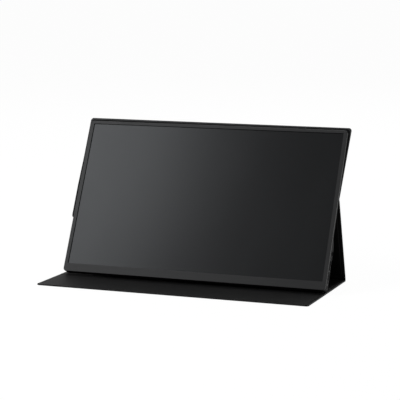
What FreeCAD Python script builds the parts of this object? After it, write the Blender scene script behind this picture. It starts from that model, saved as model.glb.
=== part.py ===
import FreeCAD, Part
import math
import os

Vector = FreeCAD.Vector
os.makedirs("parts", exist_ok=True)

# A portable monitor standing on its folding folio. Millimetres and degrees, +Z up, +X to the viewer's right.
# Monitor pieces are drawn upright, X right, Y back from the front face, Z up from the bottom edge,
# and are then leaned back onto the stand.

# Display panel: the 15.6 inch 16:9 active area sets the scale of the rest.
active_width = 344.2
active_height = 193.6
side_bezel = 5.4
top_bezel = 4.6
chin = 11.3

# Housing.
corner_radius = 4.0
wall = 1.3
lip = 1.0
rim_depth = 1.5
window_reveal = 0.6
window_radius = 0.8
edge_break = 0.35
side_round = 1.2
top_round = 2.0
foot_radius = 2.5
slope_run = 12.0
slope_radius = 6.0
hump_margin = 2.4

# Display layers, front to back.
tape_thickness = 0.2
tape_inset = 0.5
cell_thickness = 1.1
film_thickness = 0.4
guide_thickness = 0.6
reflector_thickness = 0.2
tray_floor = 0.4
tray_wall = 0.4
pad_thickness = 0.3
pad_width = 8.0
layer_gap = 0.6
film_gap = 0.2
strip_board = 0.5
strip_height = 1.6
led_count = 28
led_length_share = 0.45

# Boards, flat cable and screws.
driver_thickness = 0.8
driver_width = 140.0
driver_margin = 1.5
driver_rise = 2.0
driver_shift_share = -0.11
flex_thickness = 0.14
flex_width = 26.0
flex_count = 3
cable_thickness = 0.3
cable_height = 6.0
cable_overlap = 14.0
cable_gap = 2.0
board_thickness = 1.0
board_width = 76.0
board_margin = 3.0
board_side_gap = 0.4
screw_radius = 0.8
screw_fit = 0.06
screw_head_radius = 1.5
screw_head = 0.5
screw_length = 4.0
boss_radius = 2.1
boss_inset = 4.5
pin_sides = 10
scaler_size = 15.0
scaler_thickness = 1.1
chip_shares = [(0.42, 0.52, 1.0), (0.2, 0.7, 0.55), (0.22, 0.28, 0.6), (0.62, 0.3, 0.4)]

# Socket row on the right wall, bottom to top.
led_rise = 8.5
led_radius = 0.8
led_block = 1.8
pipe_fit = 0.06
led_usb_gap = 4.0
usb_width = 8.9
usb_height = 3.2
usb_depth = 8.0
usb_shell = 0.3
usb_hdmi_gap = 2.2
hdmi_width = 15.6
hdmi_height = 5.2
hdmi_depth = 12.0
hdmi_shell = 0.4
hdmi_shoulder_share = 0.36
hdmi_jack_gap = 4.2
jack_width = 6.0
jack_height = 5.0
jack_depth = 14.4
jack_collar = 2.4
jack_collar_length = 1.4
jack_bore = 1.8
port_clearance = 0.5
port_recess = 0.3
socket_gap = 0.2
tongue_recess = 1.0
tongue_back_share = 0.35
tongue_width_share = 0.74
tongue_thickness_share = 0.28

# Push buttons on the left wall.
button_names = ["power_button", "down_button", "up_button"]
button_rise = 22.0
button_pitch = 13.0
button_length = 9.0
button_height = 2.6
button_proud = 0.7
button_travel = 0.5
button_fit = 0.3
button_flange = 0.7
button_flange_lip = 0.7
switch_gap = 0.15
switch_depth = 3.2
switch_width = 4.4
button_board_depth = 15.0

# Speakers behind grille slots in the hump.
speaker_width = 44.0
speaker_height = 16.0
speaker_depth = 3.6
speaker_radius = 3.0
speaker_rise = 30.0
speaker_gap = 6.0
cone_depth = 1.2
cone_margin = 2.6
grille_count = 8
grille_pitch = 3.4
grille_slot = 1.3
grille_length = 10.0
slot_bevel_share = 0.6

# Steel keepers in the bottom edge and the magnets under them.
keeper_length = 46.0
keeper_thickness = 1.0
keeper_gap = 0.3
keeper_spread_share = 0.27
magnet_width = 8.0
magnet_fit = 0.1

# Folio cover.
cover_width = 359.4
monitor_shift = 2.5
top_margin = 6.9
cover_splay = 2.6
mount_thickness = 1.0
mount_gap = 4.0
mount_radius = 5.0
skin_thickness = 0.5
board_core = 1.1
lining_thickness = 0.4
hem = 1.4
cover_radius = 4.0
fold_end_radius = 1.0
fold_gap = 1.6
fold_rise = 0.3
bead_radius = 0.95
strip_thickness = 0.6
fold_height = 120.2
base_depth = 164.3
crease_setback = 66.5
crease_width = 3.0

# How it stands.
tilt = 26.6
setback = 68.2
contact_gap = 0.3

# Making values.
overrun = 1.0
tolerance = 0.01
round_limit_share = 0.6

# Outer sizes of the monitor.
monitor_width = active_width + 2 * side_bezel
monitor_height = chin + active_height + top_bezel
half_width = monitor_width / 2

# Depths from the front face, front to back.
parting = lip + rim_depth
cell_front = lip + tape_thickness
cell_back = cell_front + cell_thickness
film_back = cell_back + film_thickness
guide_back = film_back + guide_thickness
reflector_back = guide_back + reflector_thickness
tray_back = reflector_back + tray_floor
cavity_back = tray_back + pad_thickness
thin_depth = cavity_back + wall
driver_back = tray_back + driver_thickness
main_front = driver_back + cable_thickness
main_back = main_front + board_thickness
hump_inner = main_back + hdmi_height + socket_gap
hump_depth = hump_inner + wall
layer_inset = wall + layer_gap
film_inset = layer_inset + tray_wall + film_gap

# Heights of the sockets, and what follows from them.
usb_rise = led_rise + led_radius + led_usb_gap + port_clearance + usb_width / 2
hdmi_rise = usb_rise + usb_width / 2 + usb_hdmi_gap + 2 * port_clearance + hdmi_width / 2
jack_rise = hdmi_rise + hdmi_width / 2 + hdmi_jack_gap + 2 * port_clearance + jack_collar
board_low = led_rise - led_radius - board_margin
board_high = jack_rise + jack_width / 2 + board_margin
hump_height = board_high + hump_margin
board_right = half_width - wall - board_side_gap
board_left = board_right - board_width
socket_face = half_width - port_recess
jack_face = half_width - wall - socket_gap
socket_back = min(socket_face - hdmi_depth, jack_face - jack_depth)
speaker_spread = board_left - speaker_gap - speaker_width / 2
cable_low = board_low + boss_inset + screw_head_radius + cable_gap
cable_high = cable_low + cable_height
driver_low = layer_inset + driver_rise
driver_high = cable_high + driver_margin
driver_shift = driver_shift_share * monitor_width

# Depths of the push buttons, counted in from the left wall.
button_depth = main_back + switch_depth / 2
flange_front = -half_width + wall + button_fit
flange_back = flange_front + button_flange
switch_face = flange_back + button_travel + switch_gap
button_tops = [button_rise + row * button_pitch for row in range(len(button_names))]
button_board_low = button_tops[0] - button_length / 2 - boss_radius - boss_inset
button_board_high = button_tops[-1] + button_length / 2
button_board_right = switch_face + button_board_depth

# Folio sizes and fold axes in the monitor's upright frame.
panel_thickness = skin_thickness + board_core + lining_thickness
cover_half = cover_width / 2
cover_top = monitor_height + top_margin
mount_back = thin_depth + mount_thickness
mount_low = hump_height + slope_run + mount_gap
fold_depth = mount_back + panel_thickness / 2 + fold_rise

# The upper cover leans off the monitor's back from the fold upwards, and carries the fold's axis with it.
splay = math.radians(cover_splay)
axis_reach = fold_depth - thin_depth
axis_depth = thin_depth + axis_reach * math.cos(splay)
axis_height = fold_height - axis_reach * math.sin(splay)
cover_rise = cover_top - fold_height
cover_reach = mount_thickness + panel_thickness
top_depth = thin_depth + cover_reach * math.cos(splay) + cover_rise * math.sin(splay)
top_height = fold_height + cover_rise * math.cos(splay) - cover_reach * math.sin(splay)

# The bottom rear edge of the leaned monitor stands just clear of the base.
lean = math.radians(tilt)
edge_drop = (hump_depth - foot_radius) * math.sin(lean) - foot_radius * math.cos(lean) + foot_radius
rest_height = panel_thickness + contact_gap + edge_drop
stand_line = setback + foot_radius * math.sin(lean) + (hump_depth - foot_radius) * math.cos(lean)

# Fold axes on the stand, with the base's front edge at Y 0.
mid_y = setback + axis_height * math.sin(lean) + axis_depth * math.cos(lean)
mid_z = rest_height + axis_height * math.cos(lean) - axis_depth * math.sin(lean)
foot_y = base_depth - panel_thickness / 2
foot_z = panel_thickness / 2
leg_length = math.hypot(foot_y - mid_y, mid_z - foot_z)
leg_lean = math.degrees(math.atan2(foot_y - mid_y, mid_z - foot_z))
top_rear_y = setback + top_height * math.sin(lean) + top_depth * math.cos(lean)
middle_x = (max(cover_half, monitor_shift + half_width) - cover_half) / 2
middle_y = max(top_rear_y, base_depth) / 2


# Shape helpers

# Closed wire through corner points, each corner rounded by its own radius.
def rounded_wire(points, radii):
    corners = []
    for index, here in enumerate(points):
        back = (points[index - 1] - here).normalize()
        ahead = (points[(index + 1) % len(points)] - here).normalize()
        half = back.getAngle(ahead) / 2
        run = radii[index] / math.tan(half)
        inward = (back + ahead).normalize()
        nearest = here + inward * (radii[index] / math.sin(half) - radii[index])
        corners.append((here + back * run, nearest, here + ahead * run))
    edges = []
    for index, (start, nearest, end) in enumerate(corners):
        if radii[index] > 0:
            edges.append(Part.Arc(start, nearest, end).toShape())
        following = corners[(index + 1) % len(corners)][0]
        if (following - end).Length > tolerance:
            edges.append(Part.makeLine(end, following))
    return Part.Wire(edges)


# Prism from a rounded outline, pushed along a vector.
def prism(points, radii, push):
    return Part.Face(rounded_wire(points, radii)).extrude(push)


# Plain block between two corners.
def block(low, high):
    size = high - low
    return Part.makeBox(size.x, size.y, size.z, low)


# Block between two corners, with its four edges along X rounded.
def bar_along_x(low, high, radius):
    points = [low, Vector(low.x, high.y, low.z), Vector(low.x, high.y, high.z), Vector(low.x, low.y, high.z)]
    return prism(points, [radius] * len(points), Vector(high.x - low.x, 0, 0))


# Plate standing in the X-Z plane, with the radii of its lower and upper corners.
def plate(low, high, low_radius, high_radius):
    points = [low, Vector(high.x, low.y, low.z), Vector(high.x, low.y, high.z), Vector(low.x, low.y, high.z)]
    radii = [low_radius, low_radius, high_radius, high_radius]
    return prism(points, radii, Vector(0, high.y - low.y, 0))


# Plate that follows the monitor's outline, inset from its edge.
def layer(inset, near, far):
    radius = max(corner_radius - inset, 0)
    low = Vector(-half_width + inset, near, inset)
    high = Vector(half_width - inset, far, monitor_height - inset)
    return plate(low, high, radius, radius)


# Cylinder between two points.
def rod(start, end, radius):
    return Part.makeCylinder(radius, (end - start).Length, start, end - start)


# Many-sided pin along Y, for the screws and bosses that the housing hides.
def pin(start, end, radius):
    points = []
    for step in range(pin_sides):
        turn = 2 * math.pi * step / pin_sides
        points.append(start + Vector(radius * math.cos(turn), 0, radius * math.sin(turn)))
    return prism(points, [0] * pin_sides, end - start)


# Opening of the front window, grown by a margin.
def window(margin, near, far):
    side = active_width / 2 + margin
    low = Vector(-side, near, chin - margin)
    high = Vector(side, far, chin + active_height + margin)
    return plate(low, high, window_radius, window_radius)


# Display

# Front frame with a lip over the display and a rim down its sides.
def front_bezel():
    rim = layer(0, lip, parting).cut(layer(wall, lip, parting))
    frame = layer(0, 0, lip).fuse(rim).removeSplitter()
    front_edges = [edge for edge in frame.Edges if edge.BoundBox.YMax < tolerance]
    frame = frame.makeChamfer(min(edge_break, lip * round_limit_share), front_edges)
    return frame.cut(window(window_reveal, -overrun, lip + overrun))


# Adhesive frame between the lip and the display glass.
def bezel_tape():
    return layer(layer_inset, lip, cell_front).cut(window(window_reveal + tape_inset, 0, cell_front))


# Metal tray that holds the backlight layers behind the glass.
def panel_tray():
    tray = layer(layer_inset, cell_back, tray_back)
    return tray.cut(layer(layer_inset + tray_wall, cell_back, reflector_back))


# Top of the light strip at the bottom of the tray.
def strip_top():
    return film_inset + strip_height


# Clear plate above the light strip.
def light_guide():
    full = layer(film_inset, film_back, guide_back)
    return full.cut(block(Vector(-half_width, film_back, 0), Vector(half_width, guide_back, strip_top())))


# Row of light blocks on a narrow strip along the bottom of the light guide.
def led_strip():
    reach = half_width - film_inset - max(corner_radius - film_inset, 0)
    strip = block(Vector(-reach, film_back, film_inset), Vector(reach, guide_back, film_inset + strip_board))
    pitch = 2 * reach / led_count
    lights = []
    for index in range(led_count):
        left = -reach + pitch * (index + (1 - led_length_share) / 2)
        low = Vector(left, film_back, film_inset + strip_board)
        high = Vector(left + pitch * led_length_share, guide_back, strip_top())
        lights.append(block(low, high))
    return strip.multiFuse(lights).removeSplitter()


# Foam strips that hold the tray off the rear cover, above the hump.
def tray_pads():
    top = monitor_height - layer_inset - top_round
    foot = hump_height + slope_run + slope_radius
    side = half_width - layer_inset - corner_radius
    pads = [block(Vector(-side, tray_back, top - pad_width), Vector(side, cavity_back, top))]
    for left in (-side, side - pad_width):
        high = Vector(left + pad_width, cavity_back, top - 2 * pad_width)
        pads.append(block(Vector(left, tray_back, foot), high))
    return Part.makeCompound(pads)


# Thin board behind the tray that drives the display glass.
def driver_board():
    left = driver_shift - driver_width / 2
    return block(Vector(left, tray_back, driver_low), Vector(left + driver_width, driver_back, driver_high))


# Flexes from the bottom edge of the glass, under the tray, up to the driver board.
def panel_flexes():
    low = wall + (layer_gap - flex_thickness) / 2
    front = cell_front + cell_thickness / 2
    back = tray_back + (driver_thickness + flex_thickness) / 2
    flexes = []
    pitch = driver_width / flex_count
    for index in range(flex_count):
        left = driver_shift + pitch * (index - (flex_count - 1) / 2) - flex_width / 2
        points = [
            Vector(left, front, layer_inset),
            Vector(left, front, low),
            Vector(left, back, low),
            Vector(left, back, driver_low),
            Vector(left, back - flex_thickness, driver_low),
            Vector(left, back - flex_thickness, low + flex_thickness),
            Vector(left, front + flex_thickness, low + flex_thickness),
            Vector(left, front + flex_thickness, layer_inset),
        ]
        flexes.append(prism(points, [0] * len(points), Vector(flex_width, 0, 0)))
    return Part.makeCompound(flexes)


# Flat cable between the driver board and the main board.
def display_cable():
    start = driver_shift + driver_width / 2 - cable_overlap
    high = Vector(board_left + cable_overlap, main_front, cable_high)
    return block(Vector(start, driver_back, cable_low), high)


# Electronics

# Places of the screws: four in the main board, two in the button board.
def screw_places():
    sockets_clear = socket_back - boss_inset
    places = []
    for across in (board_left + boss_inset, sockets_clear):
        for rise in (board_low + boss_inset, board_high - boss_inset):
            places.append((across, rise))
    across = button_board_right - boss_inset
    places.append((across, button_board_low + boss_inset))
    places.append((across, button_board_high - boss_inset))
    return places


# Screw holes through whatever board lies at the boards' depth.
def screw_holes(radius):
    holes = []
    for across, rise in screw_places():
        start = Vector(across, main_front - overrun, rise)
        holes.append(pin(start, Vector(across, main_back + overrun, rise), radius))
    return Part.makeCompound(holes)


# Board with the sockets on its right edge.
def main_board():
    low = Vector(board_left, main_front, board_low)
    return block(low, Vector(board_right, main_back, board_high)).cut(screw_holes(screw_radius + screw_fit))


# Chips on the back of the main board, placed by shares of its width and height.
def board_chips():
    clear_width = socket_back - board_left
    chips = []
    for across_share, rise_share, size_share in chip_shares:
        side = scaler_size * size_share
        across = board_left + clear_width * across_share - side / 2
        rise = board_low + (board_high - board_low) * rise_share - side / 2
        high = Vector(across + side, main_back + scaler_thickness, rise + side)
        chips.append(block(Vector(across, main_back, rise), high))
    return Part.makeCompound(chips)


# Screws that hold the boards to the bosses of the rear cover.
def board_screws():
    screws = []
    for across, rise in screw_places():
        seat = Vector(across, main_front, rise)
        head = pin(seat - Vector(0, screw_head, 0), seat, screw_head_radius)
        shank = pin(seat, seat + Vector(0, screw_length, 0), screw_radius)
        screws.append(head.fuse(shank).removeSplitter())
    return Part.makeCompound(screws)


# Outline of the wide socket, square along the board and shouldered on the far side.
def hdmi_prism(inset, start, end):
    low = hdmi_rise - hdmi_width / 2 + inset
    high = hdmi_rise + hdmi_width / 2 - inset
    near = main_back + inset
    far = main_back + hdmi_height - inset
    shoulder = hdmi_height * hdmi_shoulder_share
    points = [
        Vector(start, near, low),
        Vector(start, far - shoulder, low),
        Vector(start, far, low + shoulder),
        Vector(start, far, high - shoulder),
        Vector(start, far - shoulder, high),
        Vector(start, near, high),
    ]
    return prism(points, [hdmi_shell] * len(points), Vector(end - start, 0, 0))


# Metal shell of the wide socket, open at its mouth.
def hdmi_shell_piece():
    start = socket_face - hdmi_depth
    return hdmi_prism(0, start, socket_face).cut(hdmi_prism(hdmi_shell, start + hdmi_shell, socket_face))


# Plastic insert of the wide socket: a block at the back and a contact tongue.
def hdmi_tongue():
    start = socket_face - hdmi_depth + hdmi_shell
    stem = start + hdmi_depth * tongue_back_share
    thick = hdmi_height * tongue_thickness_share
    half = hdmi_width * tongue_width_share / 2
    middle = main_back + hdmi_height / 2
    low = Vector(start, middle - thick / 2, hdmi_rise - half)
    high = Vector(socket_face - tongue_recess, middle + thick / 2, hdmi_rise + half)
    return hdmi_prism(hdmi_shell, start, stem).fuse(block(low, high)).removeSplitter()


# Rounded outline of the small socket, inset from its shell.
def usb_prism(inset, start, end):
    low = Vector(start, main_back + inset, usb_rise - usb_width / 2 + inset)
    high = Vector(end, main_back + usb_height - inset, usb_rise + usb_width / 2 - inset)
    return bar_along_x(low, high, usb_height / 2 - inset)


# Metal shell of the small socket, open at its mouth.
def usb_shell_piece():
    start = socket_face - usb_depth
    return usb_prism(0, start, socket_face).cut(usb_prism(usb_shell, start + usb_shell, socket_face))


# Plastic insert of the small socket.
def usb_tongue():
    start = socket_face - usb_depth + usb_shell
    stem = start + usb_depth * tongue_back_share
    thick = usb_height * tongue_thickness_share
    half = usb_width * tongue_width_share / 2
    middle = main_back + usb_height / 2
    low = Vector(start, middle - thick / 2, usb_rise - half)
    high = Vector(socket_face - tongue_recess, middle + thick / 2, usb_rise + half)
    return usb_prism(usb_shell, start, stem).fuse(block(low, high)).removeSplitter()


# Depth of the audio jack's axis.
def jack_depth_line():
    return main_back + jack_height / 2


# Audio jack: a block on the board with a round collar behind the hole in the wall.
def audio_jack():
    shoulder = jack_face - jack_collar_length
    low = Vector(jack_face - jack_depth, main_back, jack_rise - jack_width / 2)
    body = block(low, Vector(shoulder, main_back + jack_height, jack_rise + jack_width / 2))
    mouth = Vector(jack_face, jack_depth_line(), jack_rise)
    collar = rod(Vector(shoulder, jack_depth_line(), jack_rise), mouth, jack_collar)
    bore = rod(mouth - Vector(jack_depth - jack_bore, 0, 0), mouth + Vector(overrun, 0, 0), jack_bore)
    return body.fuse(collar).cut(bore).removeSplitter()


# Small light on the board, and the clear pin that carries it to the wall.
def status_light():
    low = Vector(board_right - led_block, main_back, led_rise - led_block / 2)
    return block(low, Vector(board_right, main_back + led_block, led_rise + led_block / 2))


def light_pipe():
    start = Vector(board_right, main_back + led_block / 2, led_rise)
    return rod(start, Vector(half_width, start.y, led_rise), led_radius - pipe_fit)


# Push buttons

# Rounded bar centred on a button, from one depth to another, grown by a margin.
def button_bar(rise, start, end, margin):
    half = button_height / 2 + margin
    reach = button_length / 2 + margin
    low = Vector(start, button_depth - half, rise - reach)
    return bar_along_x(low, Vector(end, button_depth + half, rise + reach), half)


# Cap through the wall, with a flange that keeps it in.
def push_button(rise):
    cap = button_bar(rise, -half_width - button_proud, flange_front, 0)
    half = button_height / 2 + button_flange_lip
    reach = button_length / 2 + button_flange_lip
    low = Vector(flange_front, button_depth - half, rise - reach)
    flange = block(low, Vector(flange_back, button_depth + half, rise + reach))
    return cap.fuse(flange).removeSplitter()


# Switches behind the buttons.
def button_switches():
    switches = []
    for rise in button_tops:
        low = Vector(switch_face, main_back, rise - switch_width / 2)
        high = Vector(switch_face + switch_depth, main_back + switch_depth, rise + switch_width / 2)
        switches.append(block(low, high))
    return Part.makeCompound(switches)


def button_board():
    low = Vector(switch_face, main_front, button_board_low)
    high = Vector(button_board_right, main_back, button_board_high)
    return block(low, high).cut(screw_holes(screw_radius + screw_fit))


# Sound, and the bottom edge

# Flat speaker that lies against the back wall of the hump, with a dished cone.
def speaker(side):
    across = side * speaker_spread
    half = speaker_width / 2
    low = Vector(across - half, hump_inner - speaker_depth, speaker_rise - speaker_height / 2)
    high = Vector(across + half, hump_inner, speaker_rise + speaker_height / 2)
    frame = plate(low, high, speaker_radius, speaker_radius)
    reach = half - cone_margin
    rise = speaker_height / 2 - cone_margin
    dish_low = Vector(across - reach, hump_inner - cone_depth, speaker_rise - rise)
    dish = plate(dish_low, Vector(across + reach, hump_inner, speaker_rise + rise), rise, rise)
    return frame.cut(dish)


# Slots in the hump's back wall over one speaker, with bevelled ends.
def grille_slots(side):
    half = grille_slot / 2
    bevel = half * slot_bevel_share
    reach = grille_length / 2
    outline = [
        (half, reach - bevel), (half - bevel, reach), (bevel - half, reach), (-half, reach - bevel),
        (-half, bevel - reach), (bevel - half, -reach), (half - bevel, -reach), (half, bevel - reach),
    ]
    slots = []
    for index in range(grille_count):
        across = side * speaker_spread + grille_pitch * (index - (grille_count - 1) / 2)
        middle = Vector(across, hump_inner - overrun, speaker_rise)
        points = [middle + Vector(right, 0, up) for right, up in outline]
        slots.append(prism(points, [0] * len(points), Vector(0, wall + 2 * overrun, 0)))
    return slots


# Steel plates on the flat of the bottom wall, drawn to the magnets in the base.
def keeper_plates():
    back = hump_inner - (foot_radius - wall) - keeper_gap
    plates = []
    for side in (-1, 1):
        middle = side * keeper_spread_share * monitor_width
        low = Vector(middle - keeper_length / 2, main_front, wall)
        plates.append(block(low, Vector(middle + keeper_length / 2, back, wall + keeper_thickness)))
    return Part.makeCompound(plates)


# Rear cover

# Solid with the cover's side outline: thin above, a hump below, joined by a slope.
def housing_solid(inset, front):
    left = -half_width + inset
    back = hump_depth - inset
    thin = thin_depth - inset
    points = [
        Vector(left, front, inset),
        Vector(left, back, inset),
        Vector(left, back, hump_height),
        Vector(left, thin, hump_height + slope_run),
        Vector(left, thin, monitor_height - inset),
        Vector(left, front, monitor_height - inset),
    ]
    radii = [0, foot_radius - inset, slope_radius, slope_radius, max(top_round - inset, 0), 0]
    return prism(points, radii, Vector(-2 * left, 0, 0))


# Outer form: both end outlines softened, then the four corners rounded.
def housing_outside():
    solid = housing_solid(0, parting)
    ends = []
    for edge in solid.Edges:
        box = edge.BoundBox
        if box.XLength < tolerance and box.YMax > parting + tolerance:
            ends.append(edge)
    softened = solid.makeFillet(min(side_round, top_round * round_limit_share), ends)
    return softened.common(layer(0, parting, hump_depth))


# Holes for the sockets, the light and the buttons.
def wall_holes():
    inside = half_width - wall - overrun
    outside = half_width + overrun
    led_middle = main_back + led_block / 2
    holes = [
        hdmi_prism(-port_clearance, inside, outside),
        usb_prism(-port_clearance, inside, outside),
        rod(
            Vector(inside, jack_depth_line(), jack_rise),
            Vector(outside, jack_depth_line(), jack_rise),
            jack_collar + port_clearance,
        ),
        rod(Vector(inside, led_middle, led_rise), Vector(outside, led_middle, led_rise), led_radius),
    ]
    for rise in button_tops:
        holes.append(button_bar(rise, -outside, -inside, button_fit))
    return holes


# Bosses that carry the boards, drilled for their screws.
def board_bosses():
    bosses = []
    pilots = []
    for across, rise in screw_places():
        top = Vector(across, main_back, rise)
        bosses.append(pin(top, Vector(across, hump_inner + wall / 2, rise), boss_radius))
        pilots.append(pin(top, top + Vector(0, screw_length, 0), screw_radius + screw_fit))
    return bosses, pilots


def rear_cover():
    front = parting - overrun
    cavity = housing_solid(wall, front).common(layer(wall, front, hump_depth))
    bosses, pilots = board_bosses()
    shell = housing_outside().cut(cavity).multiFuse(bosses)
    cuts = pilots + wall_holes() + grille_slots(-1) + grille_slots(1)
    return shell.cut(Part.makeCompound(cuts)).removeSplitter()


# Folio

# Skin of one panel: a shallow pan whose hem turns up round the board and lining.
def panel_skin(near, low, high, low_radius, high_radius):
    far = near + panel_thickness
    outer = plate(Vector(-cover_half, near, low), Vector(cover_half, far, high), low_radius, high_radius)
    return outer.cut(panel_filling(near, far - skin_thickness, low, high))


# Plate that fills the skin's pocket between two depths.
def panel_filling(near, far, low, high):
    side = cover_half - hem
    return block(Vector(-side, near, low + hem), Vector(side, far, high - hem))


# Lean a piece of the upper cover off the monitor's back.
def splayed(shape):
    moved = shape.copy()
    moved.rotate(Vector(0, thin_depth, fold_height), Vector(1, 0, 0), -cover_splay)
    return moved


# Plate that carries the folio: its foot lies on the monitor's thin back and its head leans off it.
def mount_plate():
    low = Vector(-cover_half, thin_depth, mount_low)
    foot = plate(low, Vector(cover_half, mount_back, fold_height), mount_radius, 0)
    bend = Vector(-cover_half, thin_depth, fold_height)
    head = plate(bend, Vector(cover_half, mount_back, cover_top), 0, cover_radius)
    return foot.fuse(splayed(head)).removeSplitter()


# Round bead of a fold with the tongue that joins it to its panel, along X at a height.
def fold_strip(depth, height, panel_end):
    bead = rod(Vector(-cover_half, depth, height), Vector(cover_half, depth, height), bead_radius)
    low = Vector(-cover_half, depth - strip_thickness / 2, min(height, panel_end))
    high = Vector(cover_half, depth + strip_thickness / 2, max(height, panel_end))
    return bead.fuse(block(low, high)).removeSplitter()


# Upper panel: skin and board on the mounting plate.
def upper_pieces():
    low = fold_height + fold_gap
    skin = panel_skin(mount_back, low, cover_top, fold_end_radius, cover_radius)
    board = panel_filling(mount_back, mount_back + panel_thickness - skin_thickness, low, cover_top)
    return {
        "upper_skin": splayed(skin),
        "upper_board": splayed(board),
        "mid_fold_strip": splayed(fold_strip(fold_depth, fold_height, low)),
    }


# Leg panel, drawn upright with the foot fold's axis at Z 0 and Y 0.
def leg_pieces():
    near = -panel_thickness / 2
    low = fold_gap
    high = leg_length - fold_gap
    seam = near + lining_thickness
    return {
        "leg_skin": panel_skin(near, low, high, fold_end_radius, fold_end_radius),
        "leg_board": panel_filling(seam, seam + board_core, low, high),
        "leg_lining": panel_filling(near, seam, low, high),
    }


# Pockets for the magnets in the base's rear board, under the keepers.
def magnet_blocks(margin, near):
    middle_z = stand_line - foot_y
    blocks = []
    for side in (-1, 1):
        middle = side * keeper_spread_share * monitor_width + monitor_shift
        reach = keeper_length / 2 + margin
        half = magnet_width / 2 + margin
        low = Vector(middle - reach, near, middle_z - half)
        blocks.append(block(low, Vector(middle + reach, near + board_core, middle_z + half)))
    return Part.makeCompound(blocks)


# Base panel, drawn hanging below the foot fold's axis as if the folio were opened flat.
def base_pieces():
    near = -panel_thickness / 2
    low = -foot_y
    high = -fold_gap
    seam = near + lining_thickness
    crease = low + crease_setback
    whole = panel_filling(seam, seam + board_core, low, high)
    half = crease_width / 2
    front_limit = block(Vector(-cover_half, near, low), Vector(cover_half, -near, crease - half))
    rear_limit = block(Vector(-cover_half, near, crease + half), Vector(cover_half, -near, high))
    return {
        "base_skin": panel_skin(near, low, high, cover_radius, fold_end_radius),
        "base_front_board": whole.common(front_limit),
        "base_rear_board": whole.common(rear_limit).cut(magnet_blocks(magnet_fit, seam)),
        "base_lining": panel_filling(near, seam, low, high),
        "base_magnets": magnet_blocks(0, seam),
        "foot_fold_strip": fold_strip(0, 0, high),
    }


# Putting the pieces together

# Turn a shape about X and move it to its place, with the whole part centred both ways.
def placed(shape, angle, offset):
    moved = shape.copy()
    moved.rotate(Vector(), Vector(1, 0, 0), angle)
    moved.translate(offset - Vector(middle_x, middle_y, 0))
    return moved


monitor_pieces = {
    "front_bezel": front_bezel(),
    "bezel_tape": bezel_tape(),
    "lcd_cell": layer(layer_inset, cell_front, cell_back),
    "diffuser_film": layer(film_inset, cell_back, film_back),
    "light_guide": light_guide(),
    "led_strip": led_strip(),
    "reflector_sheet": layer(film_inset, guide_back, reflector_back),
    "panel_tray": panel_tray(),
    "tray_pads": tray_pads(),
    "driver_board": driver_board(),
    "panel_flexes": panel_flexes(),
    "display_cable": display_cable(),
    "main_board": main_board(),
    "board_chips": board_chips(),
    "board_screws": board_screws(),
    "hdmi_shell": hdmi_shell_piece(),
    "hdmi_tongue": hdmi_tongue(),
    "usb_c_shell": usb_shell_piece(),
    "usb_c_tongue": usb_tongue(),
    "audio_jack": audio_jack(),
    "status_light": status_light(),
    "light_pipe": light_pipe(),
    "button_switches": button_switches(),
    "button_board": button_board(),
    "speaker_left": speaker(-1),
    "speaker_right": speaker(1),
    "keeper_plates": keeper_plates(),
    "rear_cover": rear_cover(),
}
for button_name, button_top in zip(button_names, button_tops):
    monitor_pieces[button_name] = push_button(button_top)

back_pieces = upper_pieces()
back_pieces["mount_plate"] = mount_plate()

pieces = {}
for name, shape in monitor_pieces.items():
    pieces[name] = placed(shape, -tilt, Vector(monitor_shift, setback, rest_height))
for name, shape in back_pieces.items():
    pieces[name] = placed(shape, -tilt, Vector(0, setback, rest_height))
for name, shape in leg_pieces().items():
    pieces[name] = placed(shape, leg_lean, Vector(0, foot_y, foot_z))
for name, shape in base_pieces().items():
    pieces[name] = placed(shape, -90, Vector(0, foot_y, foot_z))

for name, shape in pieces.items():
    shape.exportStep(os.path.join("parts", name + ".step"))

print("pieces", len(pieces), "all valid", all(shape.isValid() for shape in pieces.values()))
print("foot fold axis Y Z", round(foot_y - middle_y, 4), round(foot_z, 4), "leg lean", round(leg_lean, 4))
print("mid fold axis Y Z", round(mid_y - middle_y, 4), round(mid_z, 4), "leg length", round(leg_length, 4))
monitor_origin = (monitor_shift - middle_x, setback - middle_y, rest_height)
print("monitor origin X Y Z", [round(value, 4) for value in monitor_origin])
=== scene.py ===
import math

import bmesh
import bpy
from mathutils import Matrix, Vector, noise


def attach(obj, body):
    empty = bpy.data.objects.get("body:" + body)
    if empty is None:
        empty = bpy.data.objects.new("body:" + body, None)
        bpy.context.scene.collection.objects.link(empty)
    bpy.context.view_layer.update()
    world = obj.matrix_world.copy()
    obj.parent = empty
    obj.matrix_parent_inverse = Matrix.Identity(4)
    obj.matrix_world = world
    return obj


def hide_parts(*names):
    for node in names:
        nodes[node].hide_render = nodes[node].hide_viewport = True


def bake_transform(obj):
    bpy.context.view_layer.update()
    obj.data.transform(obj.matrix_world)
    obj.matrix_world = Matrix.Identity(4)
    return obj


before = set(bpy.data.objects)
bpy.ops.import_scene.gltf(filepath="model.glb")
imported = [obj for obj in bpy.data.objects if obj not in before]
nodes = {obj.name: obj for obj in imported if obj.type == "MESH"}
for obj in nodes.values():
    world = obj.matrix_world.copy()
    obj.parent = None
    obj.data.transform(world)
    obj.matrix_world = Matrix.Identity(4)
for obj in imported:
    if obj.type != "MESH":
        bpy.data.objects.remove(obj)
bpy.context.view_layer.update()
mm = 0.001

# how the monitor and the three folio panels lean, and the points that they are built from
stand = {
    "tilt": math.radians(26.6),
    "coverSplay": math.radians(2.6),  # the upper panel leans back a little more than the monitor
    "monitorOrigin": Vector((2.35, -20.0447, 7.1318)) * mm,  # middle of the front's bottom edge
    "footFold": Vector((-0.15, 75.0553, 1.0)) * mm,
    "midFold": Vector((-0.15, 40.7015, 111.0243)) * mm,
    "legLean": math.radians(17.3404),
}


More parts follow.
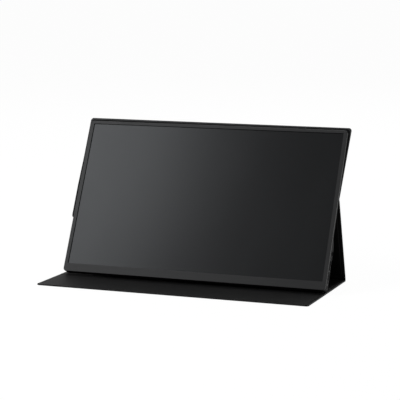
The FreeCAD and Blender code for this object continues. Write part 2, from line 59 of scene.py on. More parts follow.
def turnedAxes(angle):
    up = Vector((0, math.sin(angle), math.cos(angle)))  # along the leaned piece
    back = Vector((0, math.cos(angle), -math.sin(angle)))  # out of its rear face
    return up, back


monitorUp, monitorBack = turnedAxes(stand["tilt"])
coverUp, coverBack = turnedAxes(stand["tilt"] + stand["coverSplay"])
legUp, legBack = turnedAxes(-stand["legLean"])
across = Vector((1, 0, 0))


def onMonitor(right, depth, rise):
    return stand["monitorOrigin"] + across * right + monitorBack * depth + monitorUp * rise


# shader helpers

def addNode(tree, kind, **settings):
    node = tree.nodes.new(kind)
    for key, value in settings.items():
        setattr(node, key, value)
    return node


def fill(tree, socket, value):
    if isinstance(value, bpy.types.NodeSocket):
        tree.links.new(value, socket)
    else:
        socket.default_value = value


def feed(tree, node, **values):
    for key, value in values.items():
        fill(tree, node.inputs[key.replace("_", " ")], value)
    return node


def mathNode(tree, operation, *values):
    node = addNode(tree, "ShaderNodeMath", operation=operation)
    for socket, value in zip(node.inputs, values):
        fill(tree, socket, value)
    return node.outputs[0]


def times(tree, first, second):
    return mathNode(tree, "MULTIPLY", first, second)


def shares(tree, first, firstShare, second, secondShare):
    return mathNode(tree, "ADD", times(tree, first, firstShare), times(tree, second, secondShare))


def lessen(tree, value, mask, amount):
    return mathNode(tree, "SUBTRACT", value, times(tree, mask, amount))


def spread(tree, value, low, high, fromLow=0.0, fromHigh=1.0):
    node = addNode(tree, "ShaderNodeMapRange", clamp=True)
    settings = {"From_Min": fromLow, "From_Max": fromHigh, "To_Min": low, "To_Max": high}
    return feed(tree, node, Value=value, **settings).outputs["Result"]


# a soft-edged mask: 0 up to the first value, 1 from the second on
def rampUp(tree, value, limits):
    return spread(tree, value, 0.0, 1.0, *limits)


def tint(tree, factor, low, high):
    node = addNode(tree, "ShaderNodeMix", data_type="RGBA")
    tree.links.new(factor, node.inputs[0])
    for socket, colour in zip(node.inputs[6:8], (low, high)):
        fill(tree, socket, (*colour, 1) if isinstance(colour, tuple) else colour)
    return node.outputs[2]


def noiseNode(tree, vector, scale, detail=3.0, rough=0.5):
    node = addNode(tree, "ShaderNodeTexNoise")
    return feed(tree, node, Vector=vector, Scale=scale, Detail=detail, Roughness=rough).outputs["Fac"]


def vectorMath(tree, operation, **values):
    return feed(tree, addNode(tree, "ShaderNodeVectorMath", operation=operation), **values)


def stretched(tree, vector, scale):
    return feed(tree, addNode(tree, "ShaderNodeMapping"), Vector=vector, Scale=scale).outputs[0]


def axesOf(tree, vector):
    return feed(tree, addNode(tree, "ShaderNodeSeparateXYZ"), Vector=vector).outputs


def newGroup(name, numbers, outputs):
    group = bpy.data.node_groups.new(name, "ShaderNodeTree")
    group.interface.new_socket("Vector", in_out="INPUT", socket_type="NodeSocketVector")
    for label, value in numbers.items():
        socket = group.interface.new_socket(label, in_out="INPUT", socket_type="NodeSocketFloat")
        socket.default_value = value
    for label in outputs:
        group.interface.new_socket(label, in_out="OUTPUT", socket_type="NodeSocketFloat")
    entry = group.nodes.new("NodeGroupInput")
    leaving = group.nodes.new("NodeGroupOutput")
    return group, entry.outputs, leaving


# spark-eroded mould texture of the plastics: tiny pits, and a slow drift in tone
mouldForm = {"softness": 0.6, "pitEdge": (0.1, 0.75), "glossEdge": (0.3, 0.7),
             "fineInTone": 0.6, "driftInTone": 0.4, "pitsInHeight": 0.7, "fineInHeight": 0.3}


def mouldTextureGroup():
    numbers = {"Pit Scale": 2600.0, "Drift Scale": 18.0}
    group, given, leaving = newGroup("mouldTexture", numbers, ["Tone", "Gloss", "Height"])
    cells = addNode(group, "ShaderNodeTexVoronoi", feature="SMOOTH_F1")
    feed(group, cells, Vector=given["Vector"], Scale=given["Pit Scale"], Smoothness=mouldForm["softness"])
    pits = rampUp(group, cells.outputs["Distance"], mouldForm["pitEdge"])
    fine = noiseNode(group, given["Vector"], given["Pit Scale"], 2.0, 0.6)
    drift = noiseNode(group, given["Vector"], given["Drift Scale"], 4.0, 0.55)
    tone = shares(group, fine, mouldForm["fineInTone"], drift, mouldForm["driftInTone"])
    height = shares(group, pits, mouldForm["pitsInHeight"], fine, mouldForm["fineInHeight"])
    feed(group, leaving, Tone=tone, Gloss=rampUp(group, drift, mouldForm["glossEdge"]), Height=height)
    return group


# leather-like grain: rounded pebbles between thin creases, bent a little so that they don't line up
pebbleForm = {"warpScale": 0.5, "creaseWidth": 0.22, "fineScale": 3.0,
              "driftInTone": 0.7, "fineInTone": 0.3, "domeInHeight": 0.85, "fineInHeight": 0.15}


def pebbleGrainGroup():
    numbers = {"Grain Scale": 900.0, "Warp": 0.35, "Drift Scale": 14.0}
    group, given, leaving = newGroup("pebbleGrain", numbers, ["Crease", "Tone", "Height"])
    warp = addNode(group, "ShaderNodeTexNoise")
    warpScale = times(group, given["Grain Scale"], pebbleForm["warpScale"])
    feed(group, warp, Vector=given["Vector"], Scale=warpScale, Detail=2.0)
    centred = vectorMath(group, "SUBTRACT")
    fill(group, centred.inputs[0], warp.outputs["Color"])
    fill(group, centred.inputs[1], (0.5, 0.5, 0.5))
    amount = mathNode(group, "DIVIDE", given["Warp"], given["Grain Scale"])
    shifted = vectorMath(group, "SCALE", Vector=centred.outputs[0], Scale=amount)
    bent = vectorMath(group, "ADD")
    fill(group, bent.inputs[0], given["Vector"])
    fill(group, bent.inputs[1], shifted.outputs[0])
    edges = addNode(group, "ShaderNodeTexVoronoi", feature="DISTANCE_TO_EDGE")
    feed(group, edges, Vector=bent.outputs[0], Scale=given["Grain Scale"])
    crease = spread(group, edges.outputs["Distance"], 1.0, 0.0, 0.0, pebbleForm["creaseWidth"])
    fine = noiseNode(group, given["Vector"], times(group, given["Grain Scale"], pebbleForm["fineScale"]), 2.0)
    drift = noiseNode(group, given["Vector"], given["Drift Scale"], 4.0)
    tone = shares(group, drift, pebbleForm["driftInTone"], fine, pebbleForm["fineInTone"])
    dome = mathNode(group, "SUBTRACT", 1.0, times(group, crease, crease))
    height = shares(group, dome, pebbleForm["domeInHeight"], fine, pebbleForm["fineInHeight"])
    feed(group, leaving, Crease=crease, Tone=tone, Height=height)
    return group


# marks of handling: broad soft smears, longest upwards, and a few dust specks in patches
handlingForm = {"smearStretch": (1.0, 1.0, 0.45), "smearEdge": (0.42, 0.68), "speckEdge": (0.04, 0.11),
                "patchScale": 60.0, "patchEdge": (0.52, 0.7)}


def handlingGroup():
    numbers = {"Smear Scale": 9.0, "Dust Scale": 420.0}
    group, given, leaving = newGroup("handling", numbers, ["Smear", "Dust"])
    drawn = stretched(group, given["Vector"], handlingForm["smearStretch"])
    smear = noiseNode(group, drawn, given["Smear Scale"], 5.0, 0.6)
    specks = addNode(group, "ShaderNodeTexVoronoi", feature="F1")
    feed(group, specks, Vector=given["Vector"], Scale=given["Dust Scale"])
    near = spread(group, specks.outputs["Distance"], 1.0, 0.0, *handlingForm["speckEdge"])
    patches = noiseNode(group, given["Vector"], handlingForm["patchScale"], 2.0)
    dust = times(group, near, rampUp(group, patches, handlingForm["patchEdge"]))
    feed(group, leaving, Smear=rampUp(group, smear, handlingForm["smearEdge"]), Dust=dust)
    return group


groups = {"mould": mouldTextureGroup(), "pebble": pebbleGrainGroup(), "handling": handlingGroup()}
print("shader groups made:", ", ".join(groups))


def placeGroup(tree, name, vector, **values):
    node = addNode(tree, "ShaderNodeGroup", node_tree=groups[name])
    return feed(tree, node, Vector=vector, **values).outputs


def newMaterial(name, **shaderValues):
    material = bpy.data.materials.new(name)
    material.use_nodes = True
    tree = material.node_tree
    tree.nodes.clear()
    shader = addNode(tree, "ShaderNodeBsdfPrincipled")
    feed(tree, addNode(tree, "ShaderNodeOutputMaterial"), Surface=shader.outputs["BSDF"])
    feed(tree, shader, **shaderValues)
    coordinates = addNode(tree, "ShaderNodeTexCoord").outputs["Object"]
    return material, tree, shader, coordinates


def bump(tree, shader, height, depth, strength=1.0):
    node = addNode(tree, "ShaderNodeBump")
    feed(tree, node, Height=height, Distance=depth, Strength=strength)
    feed(tree, shader, Normal=node.outputs[0])


# plastics
plastics = {
    "bezelPlastic": {"dark": (0.0100, 0.0100, 0.0102), "light": (0.0166, 0.0166, 0.0169),
                     "rough": (0.36, 0.44), "specular": 0.087, "pits": 2600.0, "depth": 0.010 * mm},
    "coverPlastic": {"dark": (0.0080, 0.0080, 0.0082), "light": (0.0130, 0.0130, 0.0133),
                     "rough": (0.48, 0.60), "specular": 0.021, "pits": 1900.0, "depth": 0.016 * mm},
    "buttonPlastic": {"dark": (0.0080, 0.0080, 0.0082), "light": (0.0120, 0.0120, 0.0122),
                      "rough": (0.34, 0.46), "specular": 0.45, "pits": 4200.0, "depth": 0.005 * mm},
    # the mounting plate's own black, which is also laid on the window walls as painted shade
    "plateBlackAndWindowShade": {"dark": (0.0030, 0.0030, 0.0031), "light": (0.0055, 0.0055, 0.0056),
                   "rough": (0.58, 0.74), "specular": 0.02, "pits": 1500.0, "depth": 0.014 * mm},
    "mouldedBlack": {"dark": (0.0060, 0.0060, 0.0062), "light": (0.0120, 0.0120, 0.0124),
                     "rough": (0.40, 0.58), "specular": 0.40, "pits": 3000.0, "depth": 0.008 * mm},
}
plasticWear = {"dust": 0.10, "dustColour": (0.10, 0.10, 0.095), "polish": 0.05, "bump": 0.8}


def makePlastic(name, look):
    material, tree, shader, place = newMaterial(name, Specular_IOR_Level=look["specular"])
    mould = placeGroup(tree, "mould", place, Pit_Scale=look["pits"])
    touch = placeGroup(tree, "handling", place)
    colour = tint(tree, mould["Tone"], look["dark"], look["light"])
    dusty = tint(tree, times(tree, touch["Dust"], plasticWear["dust"]), colour, plasticWear["dustColour"])
    rough = spread(tree, mould["Gloss"], *look["rough"])
    polished = lessen(tree, rough, touch["Smear"], plasticWear["polish"])
    feed(tree, shader, Base_Color=dusty, Roughness=polished)
    bump(tree, shader, mould["Height"], look["depth"], plasticWear["bump"])
    return material


materials = {name: makePlastic(name, look) for name, look in plastics.items()}
print("plastics made:", ", ".join(plastics))


# switched-off display: the picture area with a faint cell grid, and the black border printed round it
screen = {
    "halfWidth": 172.1 * mm, "low": 11.3 * mm, "high": 204.9 * mm, "border": (0.0009, 0.0009, 0.001),
    "cell": (0.0010, 0.00105, 0.0012), "cellAlt": (0.0014, 0.00147, 0.0017), "cellPitch": 0.1793 * mm,
    "specular": 0.119, "sheenTint": (0.96, 0.98, 1.0, 1.0), "rough": (0.218, 0.238),
    "smears": 11.0, "dust": 300.0, "dustRough": 0.1, "grain": 5200.0, "grainDepth": 0.0012 * mm,
}


def makeScreen():
    material, tree, shader, place = newMaterial(
        "displayGlass", Specular_IOR_Level=screen["specular"], Specular_Tint=screen["sheenTint"])
    local = addNode(tree, "ShaderNodeMapping", vector_type="TEXTURE")
    feed(tree, local, Vector=place, Location=stand["monitorOrigin"], Rotation=(-stand["tilt"], 0, 0))
    axes = axesOf(tree, local.outputs[0])
    inSides = mathNode(tree, "LESS_THAN", mathNode(tree, "ABSOLUTE", axes["X"]), screen["halfWidth"])
    overLow = mathNode(tree, "GREATER_THAN", axes["Z"], screen["low"])
    underHigh = mathNode(tree, "LESS_THAN", axes["Z"], screen["high"])
    picture = times(tree, inSides, times(tree, overLow, underHigh))
    columns = mathNode(tree, "PINGPONG", axes["X"], screen["cellPitch"])
    columns = mathNode(tree, "DIVIDE", columns, screen["cellPitch"])
    cells = tint(tree, columns, screen["cell"], screen["cellAlt"])
    touch = placeGroup(tree, "handling", place, Smear_Scale=screen["smears"], Dust_Scale=screen["dust"])
    haze = spread(tree, touch["Smear"], *screen["rough"])
    rough = mathNode(tree, "ADD", haze, times(tree, touch["Dust"], screen["dustRough"]))
    feed(tree, shader, Base_Color=tint(tree, picture, screen["border"], cells), Roughness=rough)
    bump(tree, shader, noiseNode(tree, place, screen["grain"], 2.0, 0.6), screen["grainDepth"])
    return material


materials["displayGlass"] = makeScreen()


# leather-like sheet, a darker copy of it painted as shade on the turned-in side of its hem, and the
# microfibre lining
folioFinish = {
    "leather": {"dark": (0.0070, 0.0070, 0.0072), "light": (0.0140, 0.0140, 0.0144),
                "worn": (0.022, 0.022, 0.0225), "rough": (0.44, 0.66), "specular": 0.15,
                "grain": 1150.0, "depth": 0.060 * mm},
    # a darker copy of the leather, painted shade for the turned-in side of the hem
    "leatherHem": {"dark": (0.0012, 0.0012, 0.0012), "light": (0.0028, 0.0028, 0.0029),
                   "worn": (0.006, 0.006, 0.0061), "rough": (0.52, 0.70), "specular": 0.08,
                   "grain": 1150.0, "depth": 0.045 * mm},
    "lining": {"dark": (0.0022, 0.0022, 0.0022), "light": (0.0038, 0.0038, 0.0039),
               "rough": (0.60, 0.72), "specular": 0.08, "fibre": 2400.0, "combed": (1.0, 0.35, 1.0),
               "nap": 26.0, "toneEdge": (0.3, 0.7), "depth": 0.030 * mm, "bump": 0.6, "crushedRough": 0.34,
               "crushDepth": (-36.0 * mm, -24.0 * mm), "crushSide": (-150.0 * mm, -95.0 * mm)},
}
leatherWear = {"smears": 7.0, "scuffScale": 95.0, "scuffEdge": (0.48, 0.72), "scuff": 0.7,
               "smearPolish": 0.07, "rubPolish": 0.06, "bump": 0.75}


def makeLeather(name, look):
    material, tree, shader, place = newMaterial(name, Specular_IOR_Level=look["specular"])
    grain = placeGroup(tree, "pebble", place, Grain_Scale=look["grain"])
    touch = placeGroup(tree, "handling", place, Smear_Scale=leatherWear["smears"])
    body = tint(tree, grain["Tone"], look["light"], look["dark"])
    rub = addNode(tree, "ShaderNodeAttribute", attribute_name="edgeRub").outputs["Fac"]
    patches = noiseNode(tree, place, leatherWear["scuffScale"], 5.0, 0.65)
    scuff = times(tree, rub, rampUp(tree, patches, leatherWear["scuffEdge"]))
    worn = tint(tree, times(tree, scuff, leatherWear["scuff"]), body, look["worn"])
    creased = spread(tree, grain["Crease"], *look["rough"])
    glossy = lessen(tree, creased, touch["Smear"], leatherWear["smearPolish"])
    rubbed = lessen(tree, glossy, rub, leatherWear["rubPolish"])
    feed(tree, shader, Base_Color=worn, Roughness=rubbed)
    bump(tree, shader, grain["Height"], look["depth"], leatherWear["bump"])
    return material


def makeLining(look):
    material, tree, shader, place = newMaterial("folioLining", Specular_IOR_Level=look["specular"])
    nap = noiseNode(tree, place, look["nap"], 5.0, 0.6)
    fibre = noiseNode(tree, stretched(tree, place, look["combed"]), look["fibre"], 3.0, 0.7)
    tone = rampUp(tree, shares(tree, nap, 0.5, fibre, 0.5), look["toneEdge"])
    # under and behind the monitor the nap is crushed and smooth, less so towards the left end
    axes = axesOf(tree, place)
    behind = rampUp(tree, axes["Y"], look["crushDepth"])
    crushed = times(tree, behind, rampUp(tree, axes["X"], look["crushSide"]))
    loose = spread(tree, fibre, *look["rough"])
    missing = mathNode(tree, "SUBTRACT", look["crushedRough"], loose)
    rough = mathNode(tree, "ADD", loose, times(tree, missing, crushed))
    feed(tree, shader, Base_Color=tint(tree, tone, look["dark"], look["light"]), Roughness=rough)
    bump(tree, shader, fibre, look["depth"], look["bump"])
    return material


for name in ("leather", "leatherHem"):
    materials[name] = makeLeather(name, folioFinish[name])
materials["lining"] = makeLining(folioFinish["lining"])
print("folio finishes made:", ", ".join(folioFinish))


# metals, films and boards, most of them inside the housing
metals = {
    "platedShell": {"dark": (0.10, 0.10, 0.105), "light": (0.17, 0.17, 0.175),
                    "rough": (0.24, 0.40), "brush": 2800.0},
    "traySteel": {"dark": (0.46, 0.46, 0.47), "light": (0.62, 0.62, 0.63),
                  "rough": (0.32, 0.48), "brush": 1280.0},
    "magnetPlate": {"dark": (0.36, 0.36, 0.37), "light": (0.52, 0.52, 0.53),
                    "rough": (0.22, 0.36), "brush": 640.0},
    "goldContact": {"dark": (0.62, 0.40, 0.12), "light": (0.83, 0.60, 0.24),
                    "rough": (0.18, 0.30), "brush": 3600.0},
}
metalForm = {"drawn": (0.06, 1.0, 1.0), "depth": 0.003 * mm, "bump": 0.5}
films = {
    "foamTape": {"dark": (0.010, 0.010, 0.010), "light": (0.030, 0.030, 0.030),
                 "rough": (0.80, 0.95), "scale": 1400.0},
    "whiteFilm": {"dark": (0.74, 0.74, 0.75), "light": (0.86, 0.86, 0.87),
                  "rough": (0.30, 0.42), "scale": 60.0},
    "lightPlate": {"dark": (0.70, 0.73, 0.76), "light": (0.82, 0.84, 0.86),
                   "rough": (0.10, 0.22), "scale": 800.0},
    "ledBlocks": {"dark": (0.72, 0.66, 0.30), "light": (0.86, 0.84, 0.70),
                  "rough": (0.28, 0.40), "scale": 500.0},
    "amberFlex": {"dark": (0.30, 0.15, 0.03), "light": (0.46, 0.25, 0.06),
                  "rough": (0.30, 0.44), "scale": 300.0},
    "fibreBoard": {"dark": (0.20, 0.17, 0.13), "light": (0.36, 0.31, 0.25),
                   "rough": (0.80, 0.94), "scale": 420.0},
}
filmForm = {"depth": 0.01 * mm, "bump": 0.4}
grainEdge = (0.3, 0.7)  # the part of a noise's range that most of it lies in


def makeMetal(name, look):
    material, tree, shader, place = newMaterial(name, Metallic=1.0)
    lines = noiseNode(tree, stretched(tree, place, metalForm["drawn"]), look["brush"], 3.0, 0.6)
    rough = spread(tree, lines, *look["rough"], *grainEdge)
    feed(tree, shader, Base_Color=tint(tree, lines, look["dark"], look["light"]), Roughness=rough)
    bump(tree, shader, lines, metalForm["depth"], metalForm["bump"])
    return material


def makeFilm(name, look):
    material, tree, shader, place = newMaterial(name)
    grain = noiseNode(tree, place, look["scale"], 4.0, 0.6)
    colour = tint(tree, rampUp(tree, grain, grainEdge), look["dark"], look["light"])
    rough = spread(tree, grain, *look["rough"], *grainEdge)
    feed(tree, shader, Base_Color=colour, Roughness=rough)
    bump(tree, shader, grain, filmForm["depth"], filmForm["bump"])
    return material


for name, look in metals.items():
    materials[name] = makeMetal(name, look)
for name, look in films.items():
    materials[name] = makeFilm(name, look)


# green solder mask with copper runs that show through as paler lines
circuit = {"mask": (0.008, 0.055, 0.026), "run": (0.016, 0.105, 0.048), "pitch": 380.0, "runWidth": 0.06,
           "rough": (0.42, 0.30), "depth": 0.02 * mm, "bump": 0.5}


def makeCircuit():
    material, tree, shader, place = newMaterial("solderMask")
    cells = addNode(tree, "ShaderNodeTexBrick", offset=0.5, squash=1.0)
    feed(tree, cells, Vector=place, Scale=circuit["pitch"], Mortar_Size=circuit["runWidth"])
    runs = cells.outputs["Fac"]
    colour = tint(tree, runs, circuit["mask"], circuit["run"])
    feed(tree, shader, Base_Color=colour, Roughness=spread(tree, runs, *circuit["rough"]))
    bump(tree, shader, runs, circuit["depth"], circuit["bump"])
    return material


materials["solderMask"] = makeCircuit()


# smoked lens of the status light, switched off
lens = {"dark": (0.012, 0.012, 0.013), "light": (0.022, 0.022, 0.024), "rough": (0.10, 0.20),
        "specular": 0.5, "streaks": 900.0}


def makeLens():
    material, tree, shader, place = newMaterial("smokedLens", Specular_IOR_Level=lens["specular"])
    streaks = noiseNode(tree, place, lens["streaks"], 2.0)
    colour = tint(tree, streaks, lens["dark"], lens["light"])
    feed(tree, shader, Base_Color=colour, Roughness=spread(tree, streaks, *lens["rough"]))
    return material


materials["smokedLens"] = makeLens()
print("materials made:", len(materials))

# which finish each carried-over node wears
nodeFinish = {
    "bezelPlastic": ["front_bezel"],
    "coverPlastic": ["rear_cover"],
    "buttonPlastic": ["power_button", "down_button", "up_button"],
    "plateBlackAndWindowShade": ["mount_plate"],
    "mouldedBlack": ["board_chips", "hdmi_tongue", "usb_c_tongue", "audio_jack", "button_switches",
                     "speaker_left", "speaker_right"],
    "displayGlass": ["lcd_cell"],
    "platedShell": ["hdmi_shell", "usb_c_shell"],
    "traySteel": ["panel_tray", "board_screws", "keeper_plates"],
    "magnetPlate": ["base_magnets"],
    "foamTape": ["bezel_tape", "tray_pads"],
    "whiteFilm": ["diffuser_film", "reflector_sheet"],
    "lightPlate": ["light_guide", "status_light"],
    "ledBlocks": ["led_strip"],
    "amberFlex": ["panel_flexes", "display_cable"],
    "fibreBoard": ["upper_board", "leg_board", "base_front_board", "base_rear_board"],
    "solderMask": ["driver_board", "main_board", "button_board"],
    "smokedLens": ["light_pipe"],
    "leather": ["upper_skin", "leg_skin", "base_skin", "mid_fold_strip", "foot_fold_strip"],
    "lining": ["leg_lining", "base_lining"],
}
for finish, wearers in nodeFinish.items():
    for name in wearers:
        nodes[name].data.materials.clear()
        nodes[name].data.materials.append(materials[finish])
unfinished = sorted(set(nodes) - {name for wearers in nodeFinish.values() for name in wearers})
print("nodes finished, left over:", unfinished)


# mesh helpers

def addPiece(name, mesh):
    piece = bpy.data.objects.new(name, mesh)
    bpy.context.scene.collection.objects.link(piece)
    return piece


def settledMesh(piece):
    graph = bpy.context.evaluated_depsgraph_get()
    return bpy.data.meshes.new_from_object(piece.evaluated_get(graph))


# a mesh from its draft: normals outwards and, where an angle is given, smooth faces with sharper edges kept
def closeMesh(work, name, sharpAngle=None):
    bmesh.ops.recalc_face_normals(work, faces=work.faces)
    if sharpAngle is not None:
        for face in work.faces:
            face.smooth = True
    mesh = bpy.data.meshes.new(name)
    work.to_mesh(mesh)
    work.free()
    if sharpAngle is not None:
        mesh.set_sharp_from_angle(angle=sharpAngle)
    return mesh


# merged copies of nodes: rounded edges shade smoothly and the flat faces beside them stay flat
copyForm = {"mergeGap": 0.002 * mm, "sharpAngle": math.radians(32.0)}
smoothed = [
    ("rear_cover", "rearShell", "coverPlastic", "cover_plastic", "monitor"),
    ("front_bezel", "bezelFrame", "bezelPlastic", "bezel_plastic", "monitor"),
    ("mount_plate", "mountPlate", "plateBlackAndWindowShade", "mount_plastic", "monitor"),
    ("usb_c_shell", "smallSocketShell", "platedShell", "socket_metal", "monitor"),
    ("hdmi_shell", "wideSocketShell", "platedShell", "socket_metal", "monitor"),
    ("audio_jack", "jackBody", "mouldedBlack", "chip_plastic", "monitor"),
    ("light_pipe", "statusLens", "smokedLens", "clear_plastic", "monitor"),
    ("power_button", "powerCap", "buttonPlastic", "button_plastic", "power_button"),
    ("down_button", "downCap", "buttonPlastic", "button_plastic", "down_button"),
    ("up_button", "upCap", "buttonPlastic", "button_plastic", "up_button"),
]


def smoothCopy(node, name, finish, slot, body):
    work = bmesh.new()
    work.from_mesh(nodes[node].data)
    bmesh.ops.remove_doubles(work, verts=work.verts, dist=copyForm["mergeGap"])
    for face in work.faces:
        face.smooth = True
    mesh = bpy.data.meshes.new(name + "Draft")
    work.to_mesh(mesh)
    work.free()
    for carried in ("custom_normal", "sharp_edge", "sharp_face"):
        if carried in mesh.attributes:
            mesh.attributes.remove(mesh.attributes[carried])
    mesh.set_sharp_from_angle(angle=copyForm["sharpAngle"])
    mesh.materials.clear()
    mesh.materials.append(materials[finish])
    draft = addPiece(name + "Draft", mesh)
    weighting = draft.modifiers.new("flatFirst", "WEIGHTED_NORMAL")
    weighting.keep_sharp = True
    settled = settledMesh(draft)
    bpy.data.objects.remove(draft)
    bpy.data.meshes.remove(mesh)
    settled.name = name
    piece = addPiece(name, settled)
    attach(piece, body)
    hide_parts(node)
    return piece


smoothPieces = {row[1]: smoothCopy(*row) for row in smoothed}
print("smooth copies:", len(smoothPieces))


# the walls of the front window, which face its middle, get the black plate finish as painted shade, so that
# they draw a dark line round the glass
def paintWindowShade(mesh):
    mesh.materials.append(materials["plateBlackAndWindowShade"])
    middle = onMonitor(0, 0, (screen["low"] + screen["high"]) / 2)
    for face in mesh.polygons:
        isWall = abs(face.normal.dot(monitorBack)) < 0.5
        if isWall and face.normal.dot(middle - face.center) > 0:
            face.material_index = 1


paintWindowShade(smoothPieces["bezelFrame"].data)

# the mounting plate stops a little short of the cover's top edge, so that the turned leather shows above it
plateTop = {"corner": 6.0 * mm, "short": 1.5 * mm}


def shortenPlate(mesh):
    top = max(vertex.co.dot(coverUp) for vertex in mesh.vertices)
    for vertex in mesh.vertices:
        if vertex.co.dot(coverUp) > top - plateTop["corner"]:
            vertex.co -= coverUp * plateTop["short"]


shortenPlate(smoothPieces["mountPlate"].data)


# folio panels: a leather skin turned over the edge, a pressed line near it, the lining set inside the hem;
# each pair of a side is the distance in from the outline, in mm, and the height in half thicknesses
panelForm = {
    "half": 1.0 * mm, "halfWidth": 179.7 * mm, "arcSteps": 7, "columns": 26,
    "leatherSide": [(9.0, 1.0), (3.9, 1.0), (3.65, 0.92), (3.4, 0.87), (3.15, 0.92), (2.9, 1.0),
                    (1.2, 1.0), (0.7, 0.95), (0.32, 0.78), (0.08, 0.45)],
    "hemSide": [(0.0, 0.0), (0.08, -0.45), (0.32, -0.78), (0.7, -0.95), (1.2, -1.0),
                (3.9, -1.0), (4.25, -0.93), (4.4, -0.8), (4.5, -0.76)],
    "liningSide": [(4.65, -0.86), (4.95, -0.95), (6.0, -0.97), (9.0, -0.97)],
    "leastRadius": 2.2 * mm, "leastEdgeRadius": 0.15 * mm, "endMargin": 10.0 * mm,
    "wave": 0.05 * mm, "waveScale": 16.0, "waveSlice": 0.3, "waveStart": 1.0 * mm, "waveRun": 5.0 * mm,
    "rubReach": 1.6 * mm, "mergeGap": 0.001 * mm, "sharpAngle": math.radians(50),
    "creaseSteps": (-1.2, -1, -0.75, -0.5, -0.25, 0, 0.25, 0.5, 0.75, 1, 1.2), "creaseClear": 1.3,
    "curlPower": 1.4,
}
panelZones = {"leather": "leatherSide", "leatherHem": "hemSide", "lining": "liningSide"}

# low and high are the ends along a panel from its fold; flare widens the far end, askew lifts its left
# corner; hem is the finish of the hem's turned-in side, on the leg and base a darker leather copy as painted
# shade
panels = {
    "upperPanel": {
        "origin": stand["midFold"], "along": coverUp, "out": coverBack, "lift": -0.3 * mm,
        "low": 1.6 * mm, "high": 97.15 * mm, "lowRadius": 1.0 * mm, "highRadius": 4.0 * mm,
        "flare": 2.0 * mm, "askew": 0.6 * mm, "hem": "leather", "rows": 22,
        "body": "monitor", "replaces": ["upper_skin"]},
    "legPanel": {
        "origin": stand["footFold"], "along": legUp, "out": legBack, "lift": 0.0,
        "low": 1.6 * mm, "high": 113.663 * mm, "lowRadius": 1.0 * mm, "highRadius": 1.0 * mm,
        "flare": 0.0, "askew": 0.0, "hem": "leatherHem", "rows": 24,
        "body": "leg", "replaces": ["leg_skin", "leg_lining"]},
    "basePanel": {
        "origin": stand["footFold"], "along": Vector((0, -1, 0)), "out": Vector((0, 0, -1)), "lift": 0.0,
        "low": 1.6 * mm, "high": 163.3 * mm, "lowRadius": 1.0 * mm, "highRadius": 4.0 * mm,
        "flare": 0.0, "askew": 0.0, "hem": "leatherHem", "rows": 34,
        "crease": 96.8 * mm, "creaseHalf": 1.5 * mm, "creaseDepth": 0.55 * mm, "curl": 0.3 * mm,
        "body": "base", "replaces": ["base_skin", "base_lining"]},
}


# the right half of a rounded outline, from the fold end's corner to the far end's; the left half mirrors it
def outlineChain(panel, inset, stations):
    side = panelForm["halfWidth"] - inset
    inside = inset > panel["highRadius"]
    least = panelForm["leastRadius"] if inside else panelForm["leastEdgeRadius"]
    lowRadius = max(panel["lowRadius"] - inset, least)
    highRadius = max(panel["highRadius"] - inset, least)
    low, high = panel["low"] + inset, panel["high"] - inset
    steps = panelForm["arcSteps"]
    turns = [math.pi / 2 * (step / steps) for step in range(steps + 1)]
    chain = []
    for turn in turns:
        chain.append((side - lowRadius + lowRadius * math.sin(turn),
                      low + lowRadius - lowRadius * math.cos(turn)))
    for station in stations:
        chain.append((side, min(max(station, low + lowRadius), high - highRadius)))
    for turn in turns:
        chain.append((side - highRadius + highRadius * math.cos(turn),
                      high - highRadius + highRadius * math.sin(turn)))
    return chain


# the base has a pressed crease in front of the monitor, and its front flap lifts a little
def panelShift(panel, v, w):
    if "crease" not in panel:
        return 0.0
    shift = 0.0
    reach = abs(v - panel["crease"]) / panel["creaseHalf"]
    if reach < 1 and w < 0:
        shift += panel["creaseDepth"] * math.cos(reach * math.pi / 2) ** 2
    if v > panel["crease"]:
        share = (v - panel["crease"]) / (panel["high"] - panel["crease"])
        shift -= panel["curl"] * share ** panelForm["curlPower"]
    return shift


def panelStations(panel):
    rows, margin = panel["rows"], panelForm["endMargin"]
    run = panel["high"] - panel["low"] - 2 * margin
    stations = [panel["low"] + margin + run * row / (rows - 1) for row in range(rows)]
    if "crease" in panel:
        crease, half = panel["crease"], panel["creaseHalf"]
        stations = [s for s in stations if abs(s - crease) > panelForm["creaseClear"] * half]
        stations += [crease + half * share for share in panelForm["creaseSteps"]]
    return sorted(stations)


